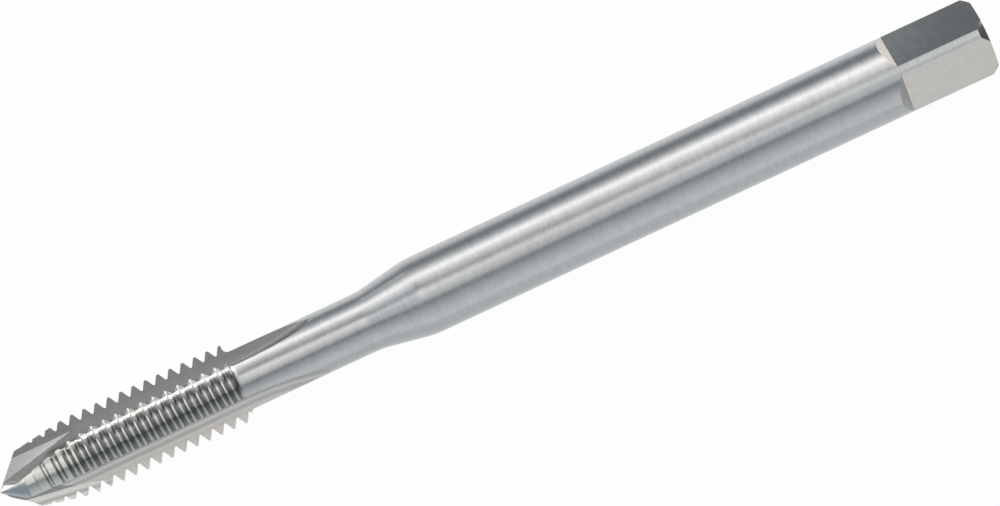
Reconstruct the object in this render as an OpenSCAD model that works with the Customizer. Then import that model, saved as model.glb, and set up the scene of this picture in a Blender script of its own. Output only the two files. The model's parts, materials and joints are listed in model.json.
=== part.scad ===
// Spiral point machine tap, M6 x 1, with a reinforced shank and a driving square.
// It is ground from one bar of high speed steel, so it is one solid.
// It lies along X as on a bench, with its point towards -X and its square towards +X.
// The origin is on the surface that it lies on, below the middle of its length.

/* [Overall] */
// Length from the point to the end of the square
overall_l = 80; // [72:1:100]
// Turn of the whole tool about its own axis, in degrees
roll = 3; // [0:1:6]

/* [Thread] */
// Diameter over the crests at the cutting edges
thread_d = 6.1; // [5.9:0.05:6.4]
// Diameter at the roots
root_d = 4.76; // [4.66:0.02:4.9]
// Distance from one crest to the next
pitch = 1; // [0.95:0.05:1.1]
// Width of the flat on each crest
crest_flat = 0.1; // [0.06:0.02:0.12]
// Distance from the point to the face that ends the thread
thread_l = 19.25; // [15:0.25:22]
// Radius at the foot of that face
thread_end_r = 0.45; // [0.2:0.05:0.6]
// How much lower a crest is at the heel than at the cutting edge
relief = 0.07; // [0:0.01:0.12]
// Distance from the point to a crest on the middle of the first land
crest_start = 0.39; // [0:0.05:1]
// Half angle of the flanks, in degrees
flank_angle = 30; // [28:1:31]

/* [Point and chamfer lead] */
// Half angle of the conical point, in degrees
point_angle = 46; // [40:1:55]
// Diameter at the foot of the conical point
point_d = 4.66; // [4.4:0.02:4.7]
// Half angle of the chamfer lead, in degrees
lead_angle = 8.3; // [7:0.1:14]
// How much higher the chamfer lead is at the cutting edge than at the heel
lead_relief = 0.1; // [0:0.02:0.14]

/* [Flutes] */
// Number of flutes
flutes = 3; // [3:1:4]
// Width of a land, in degrees of a full turn
land_w = 60; // [50:1:66]
// Rake of the cutting faces, in degrees
rake = 5; // [0:1:12]
// Lean of the heel walls away from the radius, in degrees
heel_lean = 20; // [10:1:25]
// Radius of the round bottom of each flute
bottom_r = 0.9; // [0.7:0.05:1.1]
// Distance from the point to the last full section of the flutes
flute_l = 19.5; // [17:0.5:24]
// Radius of the grinding wheel that leaves the runout
wheel_r = 22.5; // [18:0.5:30]

/* [Spiral point] */
// Distance from the axis to the floor of the groove, at the point
gun_floor = 0.42; // [0.3:0.02:0.6]
// Rise of the floor away from the axis, in degrees
gun_rise = 12; // [11:0.5:14]
// Reach of the floor sideways into the land, at the point
gun_reach = 2.12; // [2:0.02:2.2]
// Lean of the cutting side of the groove, in degrees
gun_hook = 15; // [5:1:25]
// Sideways slant of the groove, in degrees
gun_slant = 4; // [3:0.5:6]
// Width of the floor
gun_w = 2.24; // [2:0.02:2.5]
// Radius between the floor and the cutting side
gun_r = 0.9; // [0.3:0.05:1]
// Lean of the far side of the groove, in degrees
gun_lean = 18; // [10:1:30]

/* [Neck and shank] */
// Diameter of the neck
neck_d = 4.58; // [4.3:0.02:4.6]
// Distance from the point to the end of the neck
neck_end = 30; // [27:0.5:34]
// Half angle of the cone from the neck to the shank, in degrees
neck_cone_angle = 10; // [8:1:20]
// Radius that blends the cone into the neck and the shank
blend_r = 7; // [3:0.5:10]
// Diameter of the shank
shank_d = 6; // [5.8:0.05:6.5]

/* [Square] */
// Distance across the flats
square_w = 4.7; // [4.5:0.05:4.95]
// Length of the flats, from the end of the tool
square_l = 7.1; // [5:0.1:9]
// Slope of the ramps that run out of the flats, in degrees
ramp_angle = 43; // [30:1:60]
// Length of the chamfer on the end
end_chamfer_l = 0.55; // [0.3:0.05:0.8]
// Depth of the chamfer on the end
end_chamfer_h = 0.4; // [0.2:0.05:0.5]
// Height of the shallow cone that closes the end
end_cone_h = 0.1; // [0.05:0.05:0.3]
// Diameter of the flat spot in the middle of the end
end_flat_d = 2.4; // [1.5:0.1:3]

/* [Hidden] */

$fn = 96;
thread_r = thread_d / 2;
root_r = root_d / 2;
neck_r = neck_d / 2;
shank_r = shank_d / 2;
point_r = point_d / 2;
point_l = point_r / tan(point_angle);

// The ridges start a little below the roots, so that they grow out of the core
root_sink = 0.04;
ridge_base_r = root_r - root_sink;
// Each ridge runs past both edges of its land and is cut back by the flutes
ridge_over = 4;
ridge_steps = 6;
// The round at the foot of the face that ends the thread stops a little above the neck
foot_step = 0.02;
thread_end_mid = [neck_r + foot_step + thread_end_r, thread_l + thread_end_r];
flank_slope = tan(flank_angle);
lead_slope = tan(lead_angle);

flute_step = 360 / flutes;
// In a flute's own frame, with X along its middle, the cutting edge is at +edge_a and the heel at -edge_a
edge_a = (flute_step - land_w) / 2;
cut_edge = thread_r * [cos(edge_a), sin(edge_a)];
heel_edge = (thread_r - relief) * [cos(edge_a), -sin(edge_a)];
// Directions of the two walls, outwards, and their normals, into the flute
cut_dir = [cos(edge_a - rake), sin(edge_a - rake)];
heel_dir = [cos(edge_a + heel_lean), -sin(edge_a + heel_lean)];
cut_normal = [cut_dir[1], -cut_dir[0]];
heel_normal = [-heel_dir[1], heel_dir[0]];
// Middle of the bottom round, which is tangent to both walls
bottom_mid = meet(cut_normal, cut_normal * cut_edge + bottom_r, heel_normal, heel_normal * heel_edge + bottom_r);
web_r = norm(bottom_mid) - bottom_r;
// How far the cutters reach beyond the metal
clear = 1;

square_start = overall_l - square_l;
blend_steps = 6;

// Point where the lines a * [x, y] = p and b * [x, y] = q meet
function meet(a, p, b, q) = [p * b[1] - q * a[1], a[0] * q - b[0] * p] / (a[0] * b[1] - a[1] * b[0]);

// The teeth of one thread
function ridge_half_w(r) = crest_flat / 2 + (thread_r - r) * flank_slope;
function crest_r(a) = thread_r - relief * (a / land_w + 0.5);

// Height at which a flank meets the chamfer lead: side is -1 towards the point and 1 towards the shank
function lead_top_r(z, a, side) =
    (point_r + lead_relief * (0.5 - a / land_w)
        + (z - point_l + side * (crest_flat / 2 + thread_r * flank_slope)) * lead_slope)
    / (1 + side * flank_slope * lead_slope);

function top_r(z, a, side) = min(crest_r(a), max(ridge_base_r + root_sink / 2, lead_top_r(z, a, side)));

function at(r, a, z) = [r * cos(a), r * sin(a), z];

// Four corners of a ridge at the angle a from the middle of its land, which is at the angle land_a
function ridge_section(land_a, a, z) = [
    at(ridge_base_r, land_a + a, z - ridge_half_w(ridge_base_r)),
    at(top_r(z, a, -1), land_a + a, z - ridge_half_w(top_r(z, a, -1))),
    at(top_r(z, a, 1), land_a + a, z + ridge_half_w(top_r(z, a, 1))),
    at(ridge_base_r, land_a + a, z + ridge_half_w(ridge_base_r)),
];

// One ridge of the helix where it crosses one land
module ridge(land_a, z_mid) {
    reach = land_w / 2 + ridge_over;
    sections = [for (i = [0:ridge_steps])
        let (a = -reach + 2 * reach * i / ridge_steps)
        ridge_section(land_a, a, z_mid + pitch * a / 360)];
    corner = [for (i = [0:ridge_steps - 1]) for (j = [0:3]) [i * 4 + j, i * 4 + (j + 1) % 4]];
    polyhedron(
        points = [for (s = sections) each s],
        faces = concat(
            [for (c = corner) [c[0], c[1], c[0] + 4]],
            [for (c = corner) [c[1], c[1] + 4, c[0] + 4]],
            [[3, 2, 1, 0]],
            [[for (j = [0:3]) ridge_steps * 4 + j]]
        )
    );
}

// Every crest of the helix, on every land
module thread() {
    lead_start = point_l + (root_r - point_r) / lead_slope;
    for (k = [0:flutes - 1]) {
        first = crest_start + pitch * k / flutes;
        skip = ceil((lead_start - first) / pitch);
        for (z = [first + skip * pitch:pitch:thread_l + pitch / 2])
            ridge(k * flute_step, z);
    }
}

// What the face that ends the thread, and the round at its foot, cut off the ridges
module thread_end() {
    rotate_extrude()
        polygon(concat(
            arc(thread_end_mid, thread_end_r, 270, 180),
            [[neck_r + foot_step, thread_l + 2 * pitch]],
            [[thread_r + clear, thread_l + 2 * pitch], [thread_r + clear, thread_l]]
        ));
}

// Points of an arc, from one angle to the other
function arc(c, r, a0, a1) = [for (i = [0:blend_steps])
    let (a = a0 + (a1 - a0) * i / blend_steps) [c[0] + r * cos(a), c[1] + r * sin(a)]];

// Revolved outline of everything but the teeth: the radius is X and the distance from the point is Y
module blank() {
    cone_l = (shank_r - neck_r) / tan(neck_cone_angle);
    half = blend_r * tan(neck_cone_angle / 2);
    cone_end = neck_end + cone_l;
    rotate_extrude()
        polygon(concat(
            [[0, 0], [point_r, point_l], [root_r, point_l + (root_r - point_r) / lead_slope]],
            [[root_r, thread_end_mid[1]], [neck_r, thread_end_mid[1] + root_r - neck_r]],
            arc([neck_r + blend_r, neck_end - half], blend_r, 180, 180 - neck_cone_angle),
            arc([shank_r - blend_r, cone_end + half], blend_r, -neck_cone_angle, 0),
            [[shank_r, overall_l - end_cone_h - end_chamfer_l]],
            [[shank_r - end_chamfer_h, overall_l - end_cone_h]],
            [[end_flat_d / 2, overall_l], [0, overall_l]]
        ));
}

// Section of a flute, open towards +X: a cutting face, a round bottom and a leaning heel wall
module flute_section() {
    reach = thread_r + clear;
    translate(bottom_mid) circle(bottom_r);
    polygon([
        bottom_mid,
        bottom_mid - bottom_r * cut_normal,
        bottom_mid - bottom_r * cut_normal + reach * cut_dir,
        bottom_mid - bottom_r * heel_normal + reach * heel_dir,
        bottom_mid - bottom_r * heel_normal,
    ]);
}

// A flute with the runout that the grinding wheel leaves in the neck
module flute() {
    translate([0, 0, -clear])
        linear_extrude(flute_l + clear)
            flute_section();
    translate([web_r + wheel_r, 0, flute_l])
        rotate([-90, 0, 0])
            rotate_extrude()
                intersection() {
                    translate([web_r + wheel_r, 0]) mirror([1, 0]) flute_section();
                    translate([0, -wheel_r]) square([wheel_r + clear, 2 * wheel_r]);
                }
}

// Section of the groove of the spiral point: a flat floor, a round corner and two leaning sides
module gun_section() {
    out = thread_r + clear;
    far = gun_reach - gun_w;
    corner = [gun_floor + gun_r, gun_reach + gun_r * (tan(gun_hook) - 1 / cos(gun_hook))];
    translate(corner) circle(gun_r);
    polygon([
        [gun_floor, corner[1]],
        [gun_floor, far],
        [out, far - (out - gun_floor) * tan(gun_lean)],
        [out, gun_reach + (out - gun_floor) * tan(gun_hook)],
        corner + gun_r * [-sin(gun_hook), cos(gun_hook)],
        corner,
    ]);
}

// The groove that turns a straight cutting face into a spiral point
module gun_groove() {
    rotate([gun_slant, gun_rise, 0])
        translate([0, 0, -2 * clear])
            linear_extrude(thread_l)
                gun_section();
}

// What is ground away beyond one flat of the square
module flat_cut() {
    depth = shank_r - square_w / 2 + clear;
    translate([square_w / 2, shank_d, square_start])
        rotate([90, 0, 0])
            linear_extrude(2 * shank_d)
                polygon([
                    [0, 0],
                    [0, square_l + clear],
                    [depth, square_l + clear],
                    [depth, -depth / tan(ramp_angle)],
                ]);
}

module tap_body() {
    color([0.62, 0.64, 0.65])
        translate([-overall_l / 2, 0, shank_r])
            rotate([0, 90, 0])
                rotate([0, 0, 180 - roll])
                    difference() {
                        union() {
                            blank();
                            thread();
                        }
                        for (k = [0:flutes - 1])
                            rotate([0, 0, (k + 0.5) * flute_step]) {
                                flute();
                                gun_groove();
                            }
                        thread_end();
                        for (k = [0:3])
                            rotate([0, 0, 45 + 90 * k]) flat_cut();
                    }
}

tap_body();
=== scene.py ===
"""Looks of a straight fluted machine tap with a spiral point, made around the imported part.

The tool is worked out in its own frame, where Z runs along the axis from the point,
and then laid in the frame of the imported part, where it points to -X and rests on the floor.
"""

import json
import math

import bpy
import numpy as np
from mathutils import Matrix, Vector


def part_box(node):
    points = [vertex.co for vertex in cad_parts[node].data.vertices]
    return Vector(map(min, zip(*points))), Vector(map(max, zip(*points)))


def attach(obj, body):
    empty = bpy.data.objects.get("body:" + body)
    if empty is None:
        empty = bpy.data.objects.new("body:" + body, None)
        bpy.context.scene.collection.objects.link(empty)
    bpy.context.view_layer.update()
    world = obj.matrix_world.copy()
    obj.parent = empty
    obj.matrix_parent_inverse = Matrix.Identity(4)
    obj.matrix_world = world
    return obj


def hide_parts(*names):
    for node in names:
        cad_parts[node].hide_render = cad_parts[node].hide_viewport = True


MM = 0.001
MICRON = 1e-6

# Thread
THREAD_R = 3.05 * MM
ROOT_R = 2.38 * MM
PITCH = 1.0 * MM
CREST_FLAT = 0.1 * MM
THREAD_END = 19.25 * MM
THREAD_END_R = 0.45 * MM
RELIEF = 0.07 * MM
CREST_START = 0.39 * MM
FLANK_ANGLE = math.radians(30)
ROOT_FILLET = 0.045 * MM
FILLET_START = math.radians(262)
CREST_CROWN = 0.006 * MM
SUNK = 0.04 * MM
OVERRUN = 0.7

# Point and chamfer lead
POINT_ANGLE = math.radians(46)
POINT_R = 2.33 * MM
TIP_R = 0.03 * MM
LEAD_START = POINT_R / math.tan(POINT_ANGLE)
LEAD_ANGLE = math.radians(8.3)
LEAD_RELIEF = 0.1 * MM

# Flutes
FLUTES = 3
FLUTE_STEP = 2 * math.pi / FLUTES
LAND_W = math.radians(60)
RAKE = math.radians(5)
HEEL_LEAN = math.radians(20)
BOTTOM_R = 0.9 * MM
FLUTE_L = 19.5 * MM
WHEEL_R = 22.5 * MM
WHEEL_SWEEP = math.radians(26)

# Spiral point
GUN_FLOOR = 0.42 * MM
GUN_RISE = math.radians(12)
GUN_REACH = 2.12 * MM
GUN_HOOK = math.radians(15)
GUN_SLANT = math.radians(4)
GUN_W = 2.24 * MM
GUN_R = 0.9 * MM
GUN_LEAN = math.radians(18)

# Neck, shank and square
NECK_R = 2.29 * MM
NECK_END = 30 * MM
NECK_CONE = math.radians(10)
BLEND_R = 7 * MM
SQUARE_W = 4.7 * MM
SQUARE_L = 7.1 * MM
RAMP_ANGLE = math.radians(43)
END_CHAMFER_L = 0.55 * MM
END_CHAMFER_H = 0.4 * MM
END_CONE_H = 0.1 * MM
END_FLAT_R = 1.2 * MM

# Middle of the round at the foot of the thread's end face: its radius and its height
END_ROUND = (NECK_R + THREAD_END_R, THREAD_END + THREAD_END_R)

# How the tool lies, and how far its cutters reach beyond the metal
ROLL = math.radians(3)
CLEAR = 1 * MM

# How finely the surfaces are divided
ROUND_STEPS = 216
HELIX_STEPS = 120
ARC_STEPS = 16
BLEND_STEPS = 8
FILLET_STEPS = 5
THREAD_ROWS = 20
NECK_ROWS = 12
SHANK_ROWS = 30
FLUTE_ROWS = 23
RUNOUT_ROWS = 44
GROOVE_ROWS = 12
SHARP_ANGLE = math.radians(24)

# Finishes, in the order of the tool's material slots
TURNED, THREAD, CREST, RAKE_FACE, BOTTOM, HEEL_FACE, GROOVE, GROOVE_FLOOR, FLAT, RAMP = range(10)

# The photograph and where it was taken from
PHOTO_W = 1000
TOOL_SLOPE = math.radians(25)
PX_PER_MM = 13.58
CAMERA_HEIGHT = 390 * MM
SENSOR_W = 36
VIEW_CENTRE = (0.825 * MM, 0.43 * MM)


def own_frame():
    """The tool's length, its shank radius, its point and its axis height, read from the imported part."""
    low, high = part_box("tap_body")
    shank = next(m for m in frame["record"]["mounts"] if m["name"] == "shank")
    return high.x - low.x, shank["dims"]["r_mm"] * MM, low.x, shank["pos_m"][2]


def laid(points):
    """Lays points of the tool's own frame in the frame of the part.

    Z becomes +X, and the polar angle a becomes ROLL - a, counted from straight up towards +Y.
    """
    x, y, z = np.moveaxis(points, -1, 0)
    c, s = math.cos(ROLL), math.sin(ROLL)
    return np.stack([POINT_X + z, s * x - c * y, AXIS_Z + c * x + s * y], axis=-1)


def turned_about_axis(points, angle):
    """The same points, turned about the tool's axis."""
    x, y, z = np.moveaxis(points, -1, 0)
    c, s = math.cos(angle), math.sin(angle)
    return np.stack([c * x - s * y, s * x + c * y, z], axis=-1)


def arc(centre, radius, start, end, steps=ARC_STEPS):
    """Points centre + radius * (cos a, sin a), with the angle a going evenly from start to end."""
    a = np.linspace(start, end, steps + 1)
    return np.stack([centre[0] + radius * np.cos(a), centre[1] + radius * np.sin(a)], axis=-1)


def meet(a, p, b, q):
    """Point where the lines a . x = p and b . x = q cross."""
    return np.linalg.solve(np.array([a, b]), np.array([p, q]))


def skin(name, rings, finish):
    """Closed solid whose skin runs through a stack of closed rings.

    Ring i and ring i + 1 are joined by four-sided faces, and each end is a fan to the ring's middle.
    The finish is one slot, or one slot for each side of the rings.
    """
    count, sides = rings.shape[:2]
    points = np.concatenate([rings.reshape(-1, 3), rings[0].mean(0)[None], rings[-1].mean(0)[None]])
    first = np.arange(sides)
    after = (first + 1) % sides
    row = (np.arange(count - 1) * sides)[:, None]
    wall = np.stack([row + first, row + after, row + sides + after, row + sides + first], axis=-1)
    top = (count - 1) * sides
    near_fan = np.stack([after, first, np.full(sides, count * sides)], axis=-1)
    far_fan = np.stack([top + first, top + after, np.full(sides, count * sides + 1)], axis=-1)
    wall = wall.reshape(-1, 4)
    faces = [*wall.tolist(), *near_fan.tolist(), *far_fan.tolist()]
    corners = points[np.concatenate([wall[:, :3], wall[:, [0, 2, 3]], near_fan, far_fan])]
    volume = np.einsum("ij,ij->", corners[:, 0], np.cross(corners[:, 1], corners[:, 2]))
    if volume < 0:
        faces = [face[::-1] for face in faces]
    mesh = bpy.data.meshes.new(name)
    mesh.from_pydata(laid(points).tolist(), [], faces)
    of_sides = np.broadcast_to(finish, (sides,))
    slots = np.concatenate([np.tile(of_sides, count - 1), of_sides, of_sides]).astype(np.int32)
    mesh.polygons.foreach_set("material_index", slots)
    mesh.update()
    piece = bpy.data.objects.new(name, mesh)
    bpy.context.scene.collection.objects.link(piece)
    for material in FINISHES:
        mesh.materials.append(material)
    return piece


def turned(name, outline, finish):
    """Solid of revolution: each point (r, z) of the outline becomes a ring of radius r at height z."""
    turn = np.arange(ROUND_STEPS) * 2 * math.pi / ROUND_STEPS
    radius, z = outline[:, :1], outline[:, 1:]
    rings = np.broadcast_arrays(radius * np.cos(turn), radius * np.sin(turn), z)
    return skin(name, np.stack(rings, axis=-1), finish)


def cylinder(radius, start, end, rows):
    """Evenly spaced points of an outline, all at one radius."""
    return np.stack([np.full(rows, radius), np.linspace(start, end, rows)], axis=-1)


def blank():
    """Everything but the teeth, turned: rings of radius r(z) about the axis."""
    point_l = (POINT_R - TIP_R) / math.tan(POINT_ANGLE)
    lead_end = point_l + (ROOT_R - POINT_R) / math.tan(LEAD_ANGLE)
    round_start = 2 * math.pi - math.acos((ROOT_R - END_ROUND[0]) / THREAD_END_R)
    cone_l = (SHANK_R - NECK_R) / math.tan(NECK_CONE)
    half = BLEND_R * math.tan(NECK_CONE / 2)
    cone_end = NECK_END + cone_l
    chamfer_z = LENGTH - END_CONE_H - END_CHAMFER_L
    outline = np.concatenate([
        [[TIP_R, 0], [POINT_R, point_l], [ROOT_R, lead_end]],
        cylinder(ROOT_R, lead_end + PITCH, THREAD_END - PITCH / 2, THREAD_ROWS),
        arc(END_ROUND, THREAD_END_R, round_start, math.pi, BLEND_STEPS),
        cylinder(NECK_R, END_ROUND[1] + PITCH, NECK_END - half - PITCH, NECK_ROWS),
        arc((NECK_R + BLEND_R, NECK_END - half), BLEND_R, math.pi, math.pi - NECK_CONE, BLEND_STEPS),
        arc((SHANK_R - BLEND_R, cone_end + half), BLEND_R, -NECK_CONE, 0, BLEND_STEPS),
        cylinder(SHANK_R, cone_end + half + PITCH, chamfer_z - PITCH, SHANK_ROWS),
        [[SHANK_R, chamfer_z], [SHANK_R - END_CHAMFER_H, LENGTH - END_CONE_H], [END_FLAT_R, LENGTH]],
    ])
    return turned("tap_steel", outline, TURNED)


def tooth_half_width(radius):
    """Half the width of a tooth: half the crest, and more by tan(flank angle) for each step down."""
    return CREST_FLAT / 2 + (THREAD_R - radius) * math.tan(FLANK_ANGLE)


def helix():
    """The ridge of the thread: a tooth section carried along a helix, one ring for each angle a.

    A point of the section at radius r and offset w goes to (r cos a, r sin a, z + w), where z climbs
    one pitch a turn. The crest falls by RELIEF from the cutting edge of each land to its heel, and
    the cone of the chamfer lead cuts it off towards the point. The ridge is sunk in the root, and
    it runs past the thread's end, where it is cut off later.
    """
    lead_slope = math.tan(LEAD_ANGLE)
    flank_slope = math.tan(FLANK_ANGLE)
    lead_end = LEAD_START + (ROOT_R - POINT_R) / lead_slope
    first = (lead_end - CREST_START) / PITCH
    last = (THREAD_END - CREST_START) / PITCH + OVERRUN
    turns = np.arange(first, last, 1 / HELIX_STEPS)
    angle = turns * 2 * math.pi
    z = CREST_START + turns * PITCH
    from_land = (angle + FLUTE_STEP / 2) % FLUTE_STEP - FLUTE_STEP / 2
    crest = THREAD_R - RELIEF * (from_land / LAND_W + 0.5)

    def top(side):
        """Radius at which a flank meets the crest or the cone of the lead."""
        relieved = POINT_R + LEAD_RELIEF * (0.5 - from_land / LAND_W)
        beyond_start = z - LEAD_START + side * (CREST_FLAT / 2 + THREAD_R * flank_slope)
        on_cone = relieved + beyond_start * lead_slope
        return np.clip(on_cone / (1 + side * flank_slope * lead_slope), ROOT_R - SUNK / 2, crest)

    foot = tooth_half_width(ROOT_R) + ROOT_FILLET * math.tan(math.pi / 4 - FLANK_ANGLE / 2)
    fillet_middle = (foot, ROOT_R + ROOT_FILLET)
    fillet = arc(fillet_middle, ROOT_FILLET, FILLET_START, math.pi + FLANK_ANGLE, FILLET_STEPS)
    radii, offsets = [], []
    for side in (-1, 1):
        tip = top(side)[:, None]
        low = np.broadcast_to([ROOT_R - SUNK], tip.shape)
        r = np.concatenate([low, np.minimum(fillet[:, 1], tip), tip], axis=1)
        w = np.maximum(np.concatenate([[foot], fillet[:, 0], [0]]), tooth_half_width(tip))
        radii.append(r[:, ::-side])
        offsets.append(side * w[:, ::-side])
    crown = (radii[0][:, -1:] + radii[1][:, :1]) / 2 + CREST_CROWN
    middle = (offsets[0][:, -1:] + offsets[1][:, :1]) / 2
    radii = np.concatenate([radii[0], crown, radii[1]], axis=1)
    offsets = np.concatenate([offsets[0], middle, offsets[1]], axis=1)
    c, s = np.cos(angle)[:, None], np.sin(angle)[:, None]
    rings = np.stack([radii * c, radii * s, z[:, None] + offsets], axis=-1)
    finish = [THREAD] * rings.shape[1]
    top_side = radii.shape[1] // 2
    finish[top_side - 1] = finish[top_side] = CREST
    return skin("thread", rings, finish)


def beyond_thread():
    """What the face that ends the thread cuts off the ridge, down to the round at its foot."""
    inside = NECK_R / 2
    outside = THREAD_R + CLEAR
    past = THREAD_END + 2 * PITCH
    outline = np.concatenate([
        [[inside, past], [inside, END_ROUND[1]]],
        arc(END_ROUND, THREAD_END_R, math.pi, 1.5 * math.pi),
        [[outside, THREAD_END], [outside, past]],
    ])
    return turned("beyond_thread", outline, THREAD)


def flute_section():
    """Section of a flute, open towards +X: a cutting face, a round bottom and a leaning heel wall."""
    half = (FLUTE_STEP - LAND_W) / 2
    edge = THREAD_R * np.array([math.cos(half), math.sin(half)])
    heel = (THREAD_R - RELIEF) * np.array([math.cos(half), -math.sin(half)])
    cut_angle, heel_angle = half - RAKE, -(half + HEEL_LEAN)
    cut_dir = np.array([math.cos(cut_angle), math.sin(cut_angle)])
    heel_dir = np.array([math.cos(heel_angle), math.sin(heel_angle)])
    cut_normal = np.array([cut_dir[1], -cut_dir[0]])
    heel_normal = np.array([-heel_dir[1], heel_dir[0]])
    middle = meet(cut_normal, cut_normal @ edge + BOTTOM_R, heel_normal, heel_normal @ heel + BOTTOM_R)
    bottom = arc(middle, BOTTOM_R, cut_angle + math.pi / 2, heel_angle + 3 * math.pi / 2)
    reach = THREAD_R + CLEAR
    outline = np.concatenate([[bottom[0] + reach * cut_dir], bottom, [bottom[-1] + reach * heel_dir]])
    half_way = len(bottom) // 2
    finish = [RAKE_FACE] * half_way + [BOTTOM] * (len(bottom) - half_way) + [HEEL_FACE] * 2
    return outline, finish, np.linalg.norm(middle) - BOTTOM_R


def flute(turn):
    """A flute: its section carried straight along the axis, then up round the grinding wheel.

    In the runout a point at height x goes to (c - (c - x) cos b, y, l + (c - x) sin b),
    where c is the height of the wheel's middle and b is how far the wheel has turned.
    """
    outline, finish, web = flute_section()
    x, y = outline[:, 0], outline[:, 1]
    straight = np.linspace(-CLEAR, FLUTE_L, FLUTE_ROWS, endpoint=False)[:, None]
    along = np.stack(np.broadcast_arrays(x, y, straight), axis=-1)
    b = np.linspace(0, WHEEL_SWEEP, RUNOUT_ROWS)[:, None]
    c = web + WHEEL_R
    runout = np.stack(np.broadcast_arrays(c - (c - x) * np.cos(b), y, FLUTE_L + (c - x) * np.sin(b)), axis=-1)
    return skin("flute", turned_about_axis(np.concatenate([along, runout]), turn), finish)


def gun_groove(turn):
    """The groove of the spiral point, ground into a flute's cutting face.

    Its section has a flat floor, a round corner and two leaning sides. It is carried along a line
    that rises from the axis and slants sideways.
    """
    outside = THREAD_R + CLEAR
    height = outside - GUN_FLOOR
    far = GUN_REACH - GUN_W
    hook, lean = math.tan(GUN_HOOK), math.tan(GUN_LEAN)
    corner = (GUN_FLOOR + GUN_R, GUN_REACH + GUN_R * (hook - 1 / math.cos(GUN_HOOK)))
    outline = np.concatenate([
        [[GUN_FLOOR, far], [outside, far - height * lean], [outside, GUN_REACH + height * hook]],
        arc(corner, GUN_R, math.pi / 2 + GUN_HOOK, math.pi),
    ])
    z = np.linspace(-2 * CLEAR, THREAD_END - 2 * CLEAR, GROOVE_ROWS)[:, None]
    rings = np.stack(np.broadcast_arrays(outline[:, 0], outline[:, 1], z), axis=-1)
    lift = Matrix.Rotation(GUN_RISE, 3, "Y") @ Matrix.Rotation(GUN_SLANT, 3, "X")
    finish = [GROOVE] * (len(outline) - 1) + [GROOVE_FLOOR]
    return skin("gun_groove", turned_about_axis(rings @ np.array(lift).T, turn), finish)


def flat_cut(turn):
    """What is ground away beyond one flat of the square, with the ramp that runs out of it."""
    depth = SHANK_R - SQUARE_W / 2 + CLEAR
    start = LENGTH - SQUARE_L
    end = LENGTH + CLEAR
    ramp_l = depth / math.tan(RAMP_ANGLE)
    side = np.array([[0, start], [0, end], [depth, end], [depth, start - ramp_l]])
    y = np.array([-2, 2])[:, None] * SHANK_R
    rings = np.stack(np.broadcast_arrays(SQUARE_W / 2 + side[:, 0], y, side[:, 1]), axis=-1)
    return skin("flat_cut", turned_about_axis(rings, turn), [FLAT, FLAT, FLAT, RAMP])


def combine(body, operation, cutters):
    """Adds the cutters to the body or takes them off it, one after the other, and removes them."""
    for cutter in cutters:
        step = body.modifiers.new(cutter.name, "BOOLEAN")
        step.operation = operation
        step.solver = "MANIFOLD"
        step.material_mode = "INDEX"
        step.object = cutter
    graph = bpy.context.evaluated_depsgraph_get()
    old = body.data
    body.data = bpy.data.meshes.new_from_object(body.evaluated_get(graph))
    body.modifiers.clear()
    bpy.data.meshes.remove(old)
    for cutter in cutters:
        bpy.data.meshes.remove(cutter.data)


def tap():
    """The whole tool, ground from one bar."""
    body = blank()
    ridge = helix()
    combine(ridge, "DIFFERENCE", [beyond_thread()])
    combine(body, "UNION", [ridge])
    grinding = [flute((k + 0.5) * FLUTE_STEP) for k in range(FLUTES)]
    grinding += [gun_groove((k + 0.5) * FLUTE_STEP) for k in range(FLUTES)]
    grinding += [flat_cut(math.radians(45 + 90 * k)) for k in range(4)]
    combine(body, "DIFFERENCE", grinding)
    mesh = body.data
    mesh.polygons.foreach_set("use_smooth", np.ones(len(mesh.polygons), bool))
    mesh.set_sharp_from_angle(angle=SHARP_ANGLE)
    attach(body, "root")
    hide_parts("tap_body")
    return body


class Socket:
    """The output of a node, so that shader maths reads like ordinary maths."""

    def __init__(self, nodes, link):
        self.nodes = nodes
        self.link = link

    def maths(self, operation, *others):
        """A maths node with this socket and the others as its inputs."""
        return self.nodes.add("ShaderNodeMath", {"operation": operation}, dict(enumerate([self, *others])))

    def __add__(self, other):
        return self.maths("ADD", other)

    def __radd__(self, other):
        return self.maths("ADD", other)

    def __sub__(self, other):
        return self.maths("SUBTRACT", other)

    def __rsub__(self, other):
        return (self * -1) + other

    def __mul__(self, other):
        return self.maths("MULTIPLY", other)

    def __rmul__(self, other):
        return self.maths("MULTIPLY", other)

    def __truediv__(self, other):
        return self.maths("DIVIDE", other)

    def __rtruediv__(self, other):
        return self.maths("POWER", -1) * other


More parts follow.
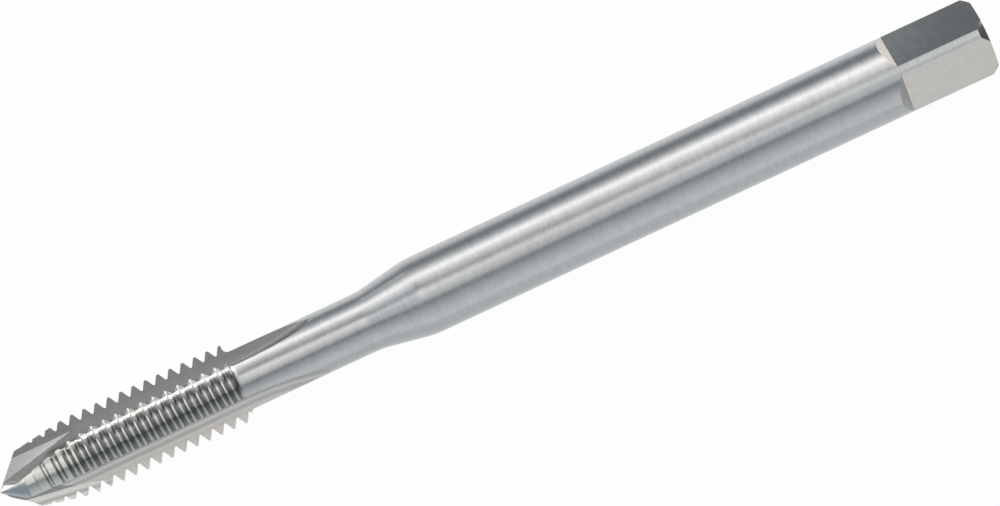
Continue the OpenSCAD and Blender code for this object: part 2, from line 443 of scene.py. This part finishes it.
class Nodes:
    """A node tree, with one method for every kind of node."""

    def __init__(self, owner):
        owner.use_nodes = True
        self.tree = owner.node_tree
        self.tree.nodes.clear()

    def add(self, kind, settings=None, inputs=None, output=0):
        """A new node. Its settings may have the stops of a ramp, and its inputs are values or sockets."""
        node = self.tree.nodes.new(kind)
        for name, value in (settings or {}).items():
            if name == "stops":
                ramp = node.color_ramp.elements
                while len(ramp) < len(value):
                    ramp.new(1)
                for stop, (position, colour) in zip(ramp, value):
                    stop.position = position
                    stop.color = (*colour, 1)
            else:
                setattr(node, name, value)
        for name, value in (inputs or {}).items():
            if isinstance(value, Socket):
                self.tree.links.new(value.link, node.inputs[name])
            else:
                node.inputs[name].default_value = value
        return Socket(self, node.outputs[output]) if node.outputs else node

    def coordinates(self, scale, turn):
        """Object coordinates, turned and then scaled."""
        own = self.add("ShaderNodeTexCoord", output="Object")
        turned = self.add("ShaderNodeMapping", {"vector_type": "POINT"}, {"Vector": own, "Rotation": turn})
        return self.add("ShaderNodeMapping", {}, {"Vector": turned, "Scale": scale})

    def noise(self, scale, detail, turn):
        """Smooth noise from 0 to 1, with its own scale along each axis, in cycles for each metre."""
        where = self.coordinates(scale, turn)
        return self.add("ShaderNodeTexNoise", {}, {
            "Vector": where, "Scale": 1, "Detail": detail, "Roughness": NOISE_ROUGHNESS})

    def place(self):
        """Where a point is: along the tool, across it, and how far from its axis."""
        x, y, z = self.parts(self.add("ShaderNodeTexCoord", output="Object"))
        up = z - AXIS_Z
        return x, y, (y * y + up * up).maths("SQRT")

    def scaled(self, colour, factor):
        """A colour times a number."""
        return self.add("ShaderNodeVectorMath", {"operation": "SCALE"}, {"Vector": colour, "Scale": factor})

    def parts(self, vector):
        """X, Y and Z of a vector."""
        split = self.add("ShaderNodeSeparateXYZ", {}, {"Vector": vector})
        return [Socket(self, split.link.node.outputs[k]) for k in range(3)]

    def fade(self, value, start, end):
        """0 where the value is at start or before, 1 at end or beyond, and smooth between."""
        return self.add("ShaderNodeMapRange", {"interpolation_type": "SMOOTHSTEP"}, {
            "Value": value, "From Min": start, "From Max": end, "To Min": 0, "To Max": 1})

    def band(self, value, start, full, last, end):
        """1 where the value is from full to last, and 0 before start and beyond end."""
        return self.fade(value, start, full) * self.fade(value, end, last)

    def blend(self, share, first, second):
        """The first number where the share is 0 and the second where it is 1."""
        return first + (second - first) * share

    def mix(self, share, first, second):
        """The first colour where the share is 0 and the second where it is 1."""
        return self.add("ShaderNodeMix", {"data_type": "RGBA"}, {0: share, 6: first, 7: second}, 2)


def grey(level, warmth):
    """A grey of the given level: warmth above 0 makes it yellower and below 0 bluer."""
    return (level * (1 + warmth), level, level * (1 - warmth), 1)


# Lines that the grinding wheel left, in cycles for each metre
FINE_LINES = 9000
BROAD_LINES = 1800
CROSS_LINES = 60

# Which way the lines run, and how they are turned
ROUND = (1, 0.2, 0.2)
LONG = (0.03, 1, 1)
SPECKLE = (1, 1, 1)
STRAIGHT = (0, 0, 0)
SLANTED = (0, 0, math.radians(8))

# How much the lines show
FINE_SHARE = 0.55
FINE_DETAIL = 4
BROAD_DETAIL = 3
NOISE_ROUGHNESS = 0.6
NOISE_RANGE = (0.3, 0.7)
GLOSS_CHANGE = 0.5
CONTRAST = 0.06
GROOVE_CONTRAST = 0.14

# Colours, roughness and shares of the finishes where they change; the colours and shares are painted light
# and shade
# The lead's bright colour below is a painted highlight; its darker -Y side is painted shade
LEAD_PAINTED_LIGHT = (0.98, 0.93, 0.86, 1)
LEAD_SHADE = (0.72, 0.72, 0.68, 1)
LEAD_ROUGHNESS = 0.22
GLOSSY_ROOT_ROUGHNESS = 0.05
# The groove's bright colour below is a painted highlight on its -Y side
GROOVE_PAINTED_LIGHT = (0.99, 0.95, 0.88, 1)
# The shares below are painted shade: in the thread's roots, on its flank faces, in the flute bottom, and less
# of it in the runout
ROOT_SHADE_SHARE = 0.55
FLANK_SHADE_SHARE = 0.22
BOTTOM_SHADE_SHARE = 0.66
RUNOUT_LESS_SHADE = 0.13

# Zones of the finishes, along the tool (z), across it (y) and by the radius (r).
# A zone of two values is where the change starts and where it is full. A zone of four also ends.
LEAD_Z = (LEAD_START - 0.02 * MM, LEAD_START + 0.02 * MM, LEAD_START + 4.2 * MM, LEAD_START + 4.8 * MM)
LEAD_SHADE_Y = (-0.44 * MM, -0.36 * MM)
GLOSSY_ROOT_Z = (LEAD_START + 3.2 * MM, LEAD_START + 3.8 * MM, THREAD_END, THREAD_END + 0.2 * MM)
# Where painted shade darkens the roots of the thread
ROOT_SHADE_Y = (0.54 * MM, 0.62 * MM, 0.94 * MM, 1.06 * MM)
ROOT_SHADE_R = (ROOT_R + 0.16 * MM, ROOT_R + 0.06 * MM)
# Where a painted lighter strip runs along the flank faces
LIT_STRIP_Y = (-0.2 * MM, -0.12 * MM, 0.4 * MM, 0.46 * MM)
LIT_STRIP_R = (ROOT_R + 0.25 * MM, ROOT_R + 0.12 * MM)
FLANK_Y = (1.1 * MM, 0.5 * MM)
FLANK_R = (ROOT_R + 0.02 * MM, ROOT_R + 0.07 * MM)
BOTTOM_Z = (3 * MM, 5 * MM)
RUNOUT_Z = (17 * MM, 21 * MM)
PLUS_Y = (0, 0.5 * MM)
MINUS_Y = (0, -0.5 * MM)


def ground_steel(name, level, warmth, roughness, lines, depth, turn=STRAIGHT, contrast=CONTRAST, change=None):
    """Ground steel: lines that a wheel left, fine and broad, which change colour, gloss and height.

    The lines are close together in the directions where the scale in lines is high.
    A change, if given, makes new sockets of the colour and the roughness.
    """
    material = bpy.data.materials.new(name)
    nodes = Nodes(material)
    fine = nodes.noise([v * FINE_LINES for v in lines], FINE_DETAIL, turn)
    broad = nodes.noise([v * BROAD_LINES + CROSS_LINES for v in lines], BROAD_DETAIL, turn)
    both = fine * FINE_SHARE + broad * (1 - FINE_SHARE)
    share = nodes.fade(both, *NOISE_RANGE)
    colour = nodes.mix(share, grey(level * (1 - contrast), warmth), grey(level * (1 + contrast), warmth))
    gloss = (both - 0.5) * (roughness * GLOSS_CHANGE) + roughness
    if change:
        colour, gloss = change(nodes, colour, gloss)
    bump = nodes.add("ShaderNodeBump", {}, {"Strength": 1, "Distance": depth, "Height": both})
    shader = nodes.add("ShaderNodeBsdfPrincipled", {}, {
        "Base Color": colour, "Metallic": 1, "Roughness": gloss, "Normal": bump})
    nodes.add("ShaderNodeOutputMaterial", {}, {"Surface": shader})
    return material


def from_point(zone):
    """A zone measured from the tool's point, laid along X in the frame of the part."""
    return [POINT_X + z for z in zone]


def painted_root_shade(nodes, y, radius):
    """How much painted shade darkens the roots of the thread behind the cutting edge."""
    return nodes.band(y, *ROOT_SHADE_Y) * nodes.fade(radius, *ROOT_SHADE_R) * ROOT_SHADE_SHARE


def painted_flank_light_and_shade(nodes, colour, gloss):
    """The thread's flank faces carry painted shade, but for a painted lighter strip and their +Y side, and
    the roots carry painted shade.
    """
    _, y, radius = nodes.place()
    lit_strip = nodes.band(y, *LIT_STRIP_Y) * nodes.fade(radius, *LIT_STRIP_R)
    share = nodes.fade(radius, *FLANK_R) * nodes.fade(y, *FLANK_Y)
    return nodes.scaled(colour, 1 - share * (1 - lit_strip) * FLANK_SHADE_SHARE - painted_root_shade(nodes, y, radius)), gloss


def lead(nodes, colour, gloss):
    """The chamfer lead carries a painted highlight, with painted shade on its -Y side, and the roots behind
    it are glossier and carry painted shade.
    """
    x, y, radius = nodes.place()
    share = nodes.band(x, *from_point(LEAD_Z))
    roots = nodes.band(x, *from_point(GLOSSY_ROOT_Z))
    colour = nodes.scaled(colour, 1 - roots * painted_root_shade(nodes, y, radius))
    gloss = nodes.blend(roots, gloss, GLOSSY_ROOT_ROUGHNESS)
    bright = nodes.mix(nodes.fade(y, *LEAD_SHADE_Y), LEAD_SHADE, LEAD_PAINTED_LIGHT)
    return nodes.mix(share, colour, bright), nodes.blend(share, gloss, LEAD_ROUGHNESS)


def painted_bottom_shade(nodes, colour, gloss):
    """The round bottom of each flute is darker on the +Y side, behind the spiral point, as painted shade,
    with less of it in the runout.
    """
    x, y, _ = nodes.place()
    share = nodes.fade(y, *PLUS_Y) * nodes.fade(x, *from_point(BOTTOM_Z))
    runout = nodes.fade(x, *from_point(RUNOUT_Z)) * RUNOUT_LESS_SHADE
    return nodes.scaled(colour, 1 - share * (BOTTOM_SHADE_SHARE - runout)), gloss


def painted_groove_light(nodes, colour, gloss):
    """The groove of the spiral point is painted brighter on the -Y side, as a highlight."""
    _, y, _ = nodes.place()
    return nodes.mix(nodes.fade(y, *MINUS_Y), colour, GROOVE_PAINTED_LIGHT), gloss


def finishes():
    """The finishes of the tool, in the order of its material slots.

    After its name each has its level of grey, its warmth, its roughness, its lines and their depth.
    """
    return [
        ground_steel("turned_steel", 0.64, 0.0, 0.22, ROUND, 0.5 * MICRON, change=lead),
        ground_steel("thread_steel", 0.66, 0.015, 0.04, ROUND, 0.1 * MICRON, change=painted_flank_light_and_shade),
        ground_steel("crest_steel", 0.66, 0.01, 0.06, ROUND, 0.1 * MICRON, change=lead),
        ground_steel("rake_face_steel", 0.78, 0.05, 0.4, LONG, 0.5 * MICRON),
        ground_steel("bottom_steel", 0.6, 0.03, 0.42, LONG, 0.5 * MICRON, change=painted_bottom_shade),
        # The heel faces are painted dark, as shade.
        ground_steel("heel_face_painted_shade_steel", 0.213, -0.03, 0.2, LONG, 0.5 * MICRON),
        ground_steel("groove_steel", 0.83, 0.03, 0.33, LONG, 0.8 * MICRON, SLANTED, GROOVE_CONTRAST, painted_groove_light),
        ground_steel("groove_floor_steel", 0.36, 0.0, 0.25, LONG, 0.5 * MICRON, SLANTED, GROOVE_CONTRAST),
        ground_steel("flat_steel", 0.68, 0.05, 0.2, SPECKLE, 0.2 * MICRON),
        ground_steel("ramp_steel", 0.66, 0.02, 0.28, SPECKLE, 0.3 * MICRON),
    ]


# Brightness of the studio, by how many degrees it is from straight overhead towards +Y
STUDIO = [
    (-180, 0.75), (-110, 0.72), (-86, 0.77), (-70, 0.72), (-55, 0.62), (-42, 0.5),
    (-32, 0.4), (-25, 0.24), (-20, 0.28), (-16, 0.62), (-8, 0.66), (-2, 0.62), (5, 0.82), (10, 0.94),
    (15, 0.74), (21, 0.42), (27, 0.46), (33, 0.74), (39, 0.82), (46, 1.0), (53, 1.3), (58, 1.62),
    (63, 1.3), (70, 0.84), (78, 0.53), (86, 0.38), (93, 0.31), (106, 0.34), (114, 0.48),
    (125, 0.68), (145, 0.84), (180, 0.86),
]
# The same far out to the sides, towards +X and -X
SIDES = [
    (-180, 0.5), (-75, 0.6), (-59, 0.45), (-47, 0.27), (-35, 0.18), (-22, 0.26), (-9, 0.4), (2, 0.5),
    (15, 0.56), (28, 0.7), (41, 0.9), (52, 1.0), (57, 2.6), (67, 2.4), (74, 4.5), (112, 4.5),
    (122, 0.6), (180, 0.5),
]
STUDIO_TOP = 6.0

# The studio's ends: slate on one side and cream on the other beyond the point, and dusk at the other end
SLATE = (0.27, 0.34, 0.41, 1)
CREAM = (1.9, 1.85, 1.75, 1)
DUSK = (0.072, 0.08, 0.088, 1)
WHITE = (1, 1, 1, 1)
SPLIT_SLOPE = 0.1
SPLIT_EDGE = (-0.04, 0.04)
DUSK_X = (-0.1, 0.1)

# Zones of the studio, by how far along X they are, from -1 to 1, by their angle and with their level
PATCH_X = (-0.13, -0.105, -0.062, -0.057)
PATCH_ANGLE = (-10, -5, 17, 21)
PATCH_LEVEL = 0.8
PATCH_WARMTH = 0.07
DIM_X = (-0.15, -0.12, -0.062, -0.057)
DIM_ANGLE = (21, 25, 42, 48)
DIM_LEVEL = -0.6
STRIP_X = (0.13, 0.16, 0.3, 0.36)
STRIP_ANGLE = (16, 22, 52, 58)
STRIP_LEVEL = 1.2
SHADE_X = (0.083, 0.088)
SHADE_ANGLE = (78, 82, 100, 106)
SHADE_LEVEL = 0.19
LAMP_PLUS_X = (0.14, 0.24)
LAMP_MINUS_X = (-0.44, -0.52)
LAMP_ANGLE = (56, 62, 100, 110)
LAMP_LEVEL = 1.4
SIDES_OUT = (0.54, 0.66)
ENDS_OUT = (0.86, 0.94)
LEAST_LEVEL = 0.05

# Bright panels are warm and dim ones cool: the warmth by the level, its limits, and its share in blue
WARMTH_SLOPE = 0.12
WARMTH_START = -0.125
COOLEST = -0.1
WARMEST = 0.03
BLUE_SHARE = 0.6


def levels_ramp(nodes, levels, angle):
    """The level of the studio at an angle, smooth between the listed ones."""
    stops = [((degrees + 180) / 360, [level / STUDIO_TOP] * 3) for degrees, level in levels]
    return nodes.add("ShaderNodeValToRGB", {"stops": stops}, {"Fac": angle / 360 + 0.5}) * STUDIO_TOP


def studio_light():
    """Soft light from all round: long panels that lie in line with the tool, brightest above +Y.

    Sideways the panels have more contrast. The end beyond the point is half dark and half bright,
    and the end beyond the square is dark. The thread sees a bright patch and a dim one, its crests
    a strip, the tips of its teeth a lamp, and the upper flat of the square a shade.
    The camera sees plain white instead.
    """
    world = bpy.data.worlds.new("studio")
    bpy.context.scene.world = world
    nodes = Nodes(world)
    x, y, z = nodes.parts(nodes.add("ShaderNodeTexCoord", output="Generated"))
    angle = y.maths("ARCTAN2", z) * (180 / math.pi)
    out = x.maths("ABSOLUTE")
    middle = levels_ramp(nodes, STUDIO, angle)
    sides = levels_ramp(nodes, SIDES, angle)
    patch = nodes.band(x, *PATCH_X) * nodes.band(angle, *PATCH_ANGLE)
    dim = nodes.band(x, *DIM_X) * nodes.band(angle, *DIM_ANGLE)
    strip = nodes.band(x, *STRIP_X) * nodes.band(angle, *STRIP_ANGLE)
    middle = middle + patch * PATCH_LEVEL + dim * DIM_LEVEL + strip * STRIP_LEVEL
    shade = nodes.fade(x, *SHADE_X) * nodes.band(angle, *SHADE_ANGLE)
    middle = nodes.blend(shade, middle, SHADE_LEVEL)
    lamp = (nodes.fade(x, *LAMP_PLUS_X) + nodes.fade(x, *LAMP_MINUS_X)) * nodes.band(angle, *LAMP_ANGLE)
    middle = nodes.blend(lamp, middle.maths("MAXIMUM", LEAST_LEVEL), LAMP_LEVEL)
    level = nodes.blend(nodes.fade(out, *SIDES_OUT), middle, sides)
    warmth = level * WARMTH_SLOPE + WARMTH_START
    warmth = warmth.maths("MAXIMUM", COOLEST).maths("MINIMUM", WARMEST) + patch * PATCH_WARMTH
    red = level * (warmth + 1)
    blue = level * (1 - warmth * BLUE_SHARE)
    panels = nodes.add("ShaderNodeCombineColor", {}, {0: red, 1: level, 2: blue})
    beside_split = y - x * SPLIT_SLOPE - SPLIT_SLOPE
    end = nodes.mix(nodes.fade(beside_split, *SPLIT_EDGE), SLATE, CREAM)
    end = nodes.mix(nodes.fade(x, *DUSK_X), end, DUSK)
    light = nodes.mix(nodes.fade(out, *ENDS_OUT), panels, end)
    studio = nodes.add("ShaderNodeBackground", {}, {"Color": light, "Strength": 1})
    white = nodes.add("ShaderNodeBackground", {}, {"Color": WHITE, "Strength": 1})
    path = nodes.add("ShaderNodeLightPath", output="Is Camera Ray")
    seen = nodes.add("ShaderNodeMixShader", {}, {0: path, 1: studio, 2: white})
    nodes.add("ShaderNodeOutputWorld", {}, {"Surface": seen})


# The floor's half side in metres, its grey, and how white the camera sees it
FLOOR_HALF = 2.0
FLOOR_GREY = (0.8, 0.8, 0.8, 1)
FLOOR_WHITE = 0.97

# What the steel sees of the floor: a glow in colours by Y in millimetres, beside the tool and beyond its
# square
FLOOR_SIDE = 200
FLOOR_BESIDE = [
    (-100, (0.6, 0.635, 0.65)), (-8, (0.6, 0.635, 0.65)), (0, (0.85, 0.85, 0.85)), (4.2, (0.85, 0.85, 0.85)),
    (7, (0.75, 0.78, 0.8)), (16, (0.25, 0.285, 0.31)), (100, (0.19, 0.225, 0.25)),
]
FLOOR_BEYOND = [
    (-100, (0.4, 0.42, 0.42)), (-1, (0.4, 0.42, 0.42)), (1, (1.27, 1.18, 1.05)), (9, (1.27, 1.18, 1.05)),
    (16, (0.12, 0.15, 0.17)), (100, (0.11, 0.135, 0.155)),
]
SQUARE_FLOOR_X = (36 * MM, 41 * MM)
POINT_FLOOR_X = (-45 * MM, -52 * MM)
POINT_FLOOR_Y = (-1 * MM, 1 * MM)


def floor_ramp(nodes, colours, y):
    """The colours of the floor's glow along Y, smooth between the listed ones."""
    stops = [(place / FLOOR_SIDE + 0.5, colour) for place, colour in colours]
    return nodes.add("ShaderNodeValToRGB", {"stops": stops}, {"Fac": y * (1 / (FLOOR_SIDE * MM)) + 0.5})


def floor():
    """A wide pale floor. The camera sees it white with a faint shadow, and the steel sees it glow in bands of
    colour, which it reflects.
    """
    mesh = bpy.data.meshes.new("floor")
    corners = [(x * FLOOR_HALF, y * FLOOR_HALF, 0) for x, y in ((-1, -1), (1, -1), (1, 1), (-1, 1))]
    mesh.from_pydata(corners, [], [(0, 1, 2, 3)])
    plane = bpy.data.objects.new("floor", mesh)
    bpy.context.scene.collection.objects.link(plane)
    material = bpy.data.materials.new("floor_white")
    nodes = Nodes(material)
    matt = nodes.add("ShaderNodeBsdfDiffuse", {}, {"Color": FLOOR_GREY})
    bright = nodes.add("ShaderNodeEmission", {}, {"Color": WHITE, "Strength": 1})
    x, y, _ = nodes.parts(nodes.add("ShaderNodeTexCoord", output="Object"))
    beside = floor_ramp(nodes, FLOOR_BESIDE, y)
    beyond_square = floor_ramp(nodes, FLOOR_BEYOND, y)
    beyond_point = nodes.mix(nodes.fade(y, *POINT_FLOOR_Y), SLATE, CREAM)
    colour = nodes.mix(nodes.fade(x, *SQUARE_FLOOR_X), beside, beyond_square)
    colour = nodes.mix(nodes.fade(x, *POINT_FLOOR_X), colour, beyond_point)
    glossy_glow = nodes.add("ShaderNodeEmission", {}, {"Color": colour, "Strength": 1})
    camera = nodes.add("ShaderNodeLightPath", output="Is Camera Ray")
    glossy = nodes.add("ShaderNodeLightPath", output="Is Glossy Ray")
    clear = nodes.add("ShaderNodeLightPath", output="Is Transmission Ray")
    white = nodes.add("ShaderNodeMixShader", {}, {0: (camera + clear) * FLOOR_WHITE, 1: matt, 2: bright})
    both = nodes.add("ShaderNodeMixShader", {}, {0: glossy, 1: white, 2: glossy_glow})
    nodes.add("ShaderNodeOutputMaterial", {}, {"Surface": both})
    mesh.materials.append(material)


def camera():
    """The photograph's view: from straight above, with the tool running up to the right."""
    data = bpy.data.cameras.new("camera")
    data.sensor_width = SENSOR_W
    data.lens = SENSOR_W * CAMERA_HEIGHT / (PHOTO_W / PX_PER_MM * MM)
    eye = bpy.data.objects.new("camera", data)
    bpy.context.scene.collection.objects.link(eye)
    c, s = math.cos(TOOL_SLOPE), math.sin(TOOL_SLOPE)
    turn = Matrix(((c, s, 0), (-s, c, 0), (0, 0, 1))).to_4x4()
    eye.matrix_world = Matrix.Translation(Vector((*VIEW_CENTRE, AXIS_Z + CAMERA_HEIGHT))) @ turn
    bpy.context.scene.camera = eye


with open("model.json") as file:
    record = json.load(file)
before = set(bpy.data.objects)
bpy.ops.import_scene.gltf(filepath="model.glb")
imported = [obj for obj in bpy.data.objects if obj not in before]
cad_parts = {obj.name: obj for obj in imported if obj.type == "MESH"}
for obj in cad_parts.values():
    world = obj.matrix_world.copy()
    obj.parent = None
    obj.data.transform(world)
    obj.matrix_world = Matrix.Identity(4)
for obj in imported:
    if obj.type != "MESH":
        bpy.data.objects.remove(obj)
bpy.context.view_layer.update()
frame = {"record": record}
LENGTH, SHANK_R, POINT_X, AXIS_Z = own_frame()
FINISHES = finishes()
camera()
tap()
studio_light()
floor()
bpy.context.scene.view_settings.view_transform = "Standard"
